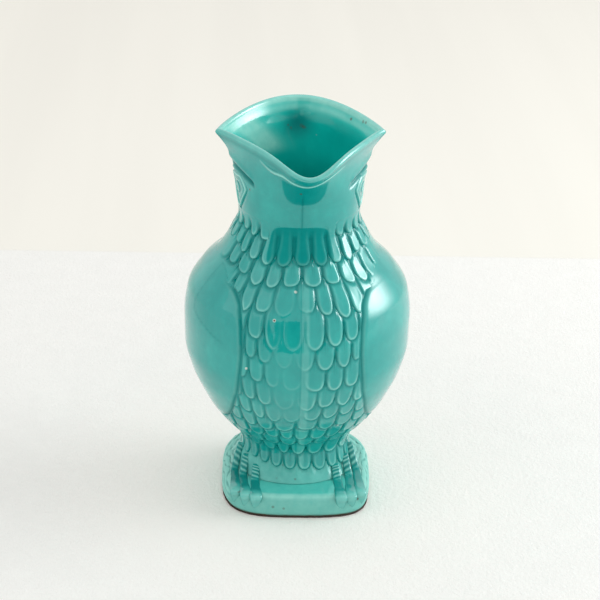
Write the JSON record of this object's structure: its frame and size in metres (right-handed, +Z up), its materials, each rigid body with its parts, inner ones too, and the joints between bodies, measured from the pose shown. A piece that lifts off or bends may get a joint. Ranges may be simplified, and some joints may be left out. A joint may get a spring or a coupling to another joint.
{
  "type": "owl pitcher",
  "caption": "Ceramic pitcher shaped as a standing owl: feathered breast, folded wings, clawed feet on a rounded square plinth, pinched lip and a loop handle behind.",
  "frame": {"origin": "centre of the flat unglazed foot, on the surface the pitcher stands on", "axes": "+Z up, the owl and its pouring lip face -Y, the handle is at +Y, the owl's own left side is +X"},
  "size_m": [0.1214, 0.1461, 0.212],
  "materials": {
    "turquoise_glaze": "glossy translucent turquoise glaze, pale where thin on edges and deep where it pools",
    "bare_clay": "unglazed fired clay, wiped dry"
  },
  "bodies": {
    "root": {"unglazed_foot": "bare_clay", "plinth": "turquoise_glaze", "vessel_wall": "turquoise_glaze", "breast_feathers_row_01": "turquoise_glaze", "breast_feathers_row_02": "turquoise_glaze", "breast_feathers_row_03": "turquoise_glaze", "breast_feathers_row_04": "turquoise_glaze", "breast_feathers_row_05": "turquoise_glaze", "breast_feathers_row_06": "turquoise_glaze", "breast_feathers_row_07": "turquoise_glaze", "breast_feathers_row_08": "turquoise_glaze", "breast_feathers_row_09": "turquoise_glaze", "breast_feathers_row_10": "turquoise_glaze", "breast_feathers_row_11": "turquoise_glaze", "breast_feathers_row_12": "turquoise_glaze", "breast_feathers_row_13": "turquoise_glaze", "beak_ridge": "turquoise_glaze", "handle": "turquoise_glaze", "tail": "turquoise_glaze", "left_neck_feathers": "turquoise_glaze", "left_wing": "turquoise_glaze", "left_eye": "turquoise_glaze", "left_pupil": "turquoise_glaze", "left_inner_toe": "turquoise_glaze", "left_middle_toe": "turquoise_glaze", "left_outer_toe": "turquoise_glaze", "right_neck_feathers": "turquoise_glaze", "right_wing": "turquoise_glaze", "right_eye": "turquoise_glaze", "right_pupil": "turquoise_glaze", "right_inner_toe": "turquoise_glaze", "right_middle_toe": "turquoise_glaze", "right_outer_toe": "turquoise_glaze"}
  },
  "joints": []
}
